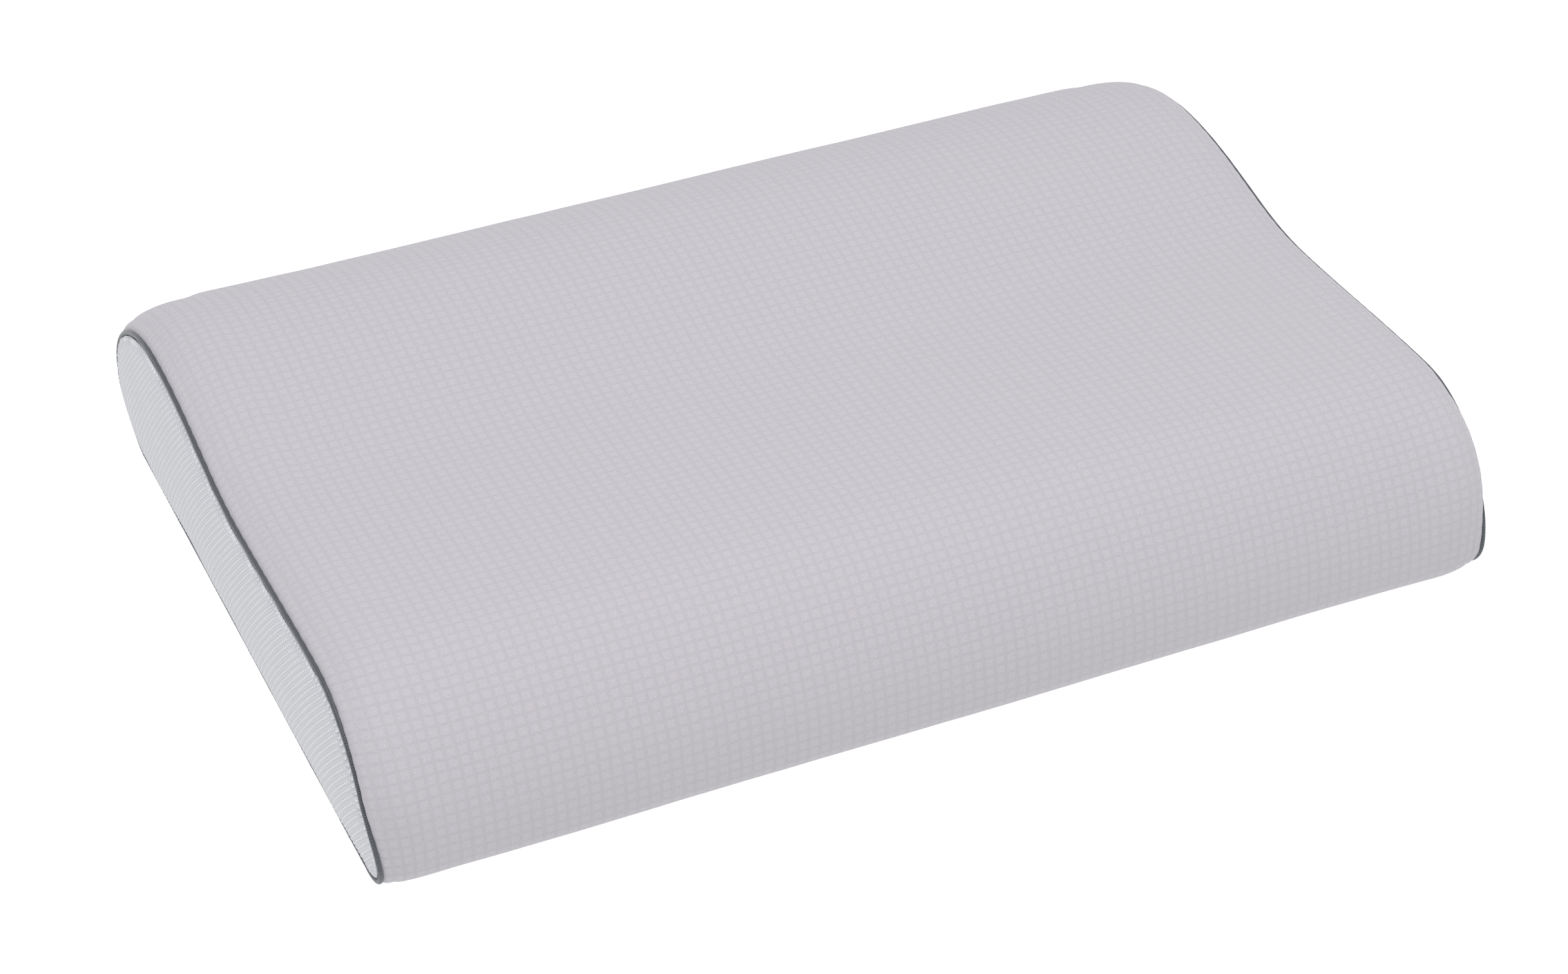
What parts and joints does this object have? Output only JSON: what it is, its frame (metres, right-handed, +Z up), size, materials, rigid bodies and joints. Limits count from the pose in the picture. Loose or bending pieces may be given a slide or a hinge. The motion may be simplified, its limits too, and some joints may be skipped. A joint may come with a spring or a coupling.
{
  "type": "bed pillow",
  "caption": "Contour bed pillow with a wave-shaped foam core, a zipped knitted cover, domed mesh end gussets and dark corded piping round each end.",
  "frame": {"origin": "under the middle of the pillow, on the face that it rests on", "axes": "+X along the pillow, -Y towards the front lobe, +Y towards the high back lobe and the zip, +Z up"},
  "size_m": [0.597, 0.4126, 0.1105],
  "materials": {
    "memory_foam": "matte open-cell foam",
    "stockinette": "matte plain knit",
    "jacquard_knit": "soft knit with a fine rib and a small check",
    "spacer_mesh": "matte spacer mesh",
    "grey_satin": "satin bias tape",
    "cotton_cord": "matte cord",
    "label_ribbon": "blank satin ribbon",
    "zip_tape": "matte woven tape",
    "zip_nylon": "nylon coil",
    "zip_metal": "satin nickel plate"
  },
  "bodies": {
    "pillow": {"foam_core": "memory_foam", "inner_cover": "stockinette", "top_panel": "jacquard_knit", "bottom_panel": "jacquard_knit", "gusset_left": "spacer_mesh", "gusset_right": "spacer_mesh", "piping_tape_left": "grey_satin", "piping_tape_right": "grey_satin", "piping_cord_left": "cotton_cord", "piping_cord_right": "cotton_cord", "care_label": "label_ribbon", "zip_tape_upper": "zip_tape", "zip_tape_lower": "zip_tape", "zip_coil_upper": "zip_nylon", "zip_coil_lower": "zip_nylon", "zip_top_stop": "zip_metal", "zip_bottom_stop": "zip_metal"},
    "slider": {"zip_slider": "zip_metal"},
    "pull": {"zip_pull": "zip_metal"}
  },
  "joints": [
    {"name": "zip_slide", "type": "slide", "parent": "pillow", "child": "slider", "axis": [1, 0, 0], "range_m": [-0.4998, 0]},
    {"name": "pull_hinge", "type": "hinge", "parent": "slider", "child": "pull", "pos_m": [0.2499, 0.2048, 0.046], "axis": [0, 0, -1], "range_deg": [0, 170]}
  ]
}
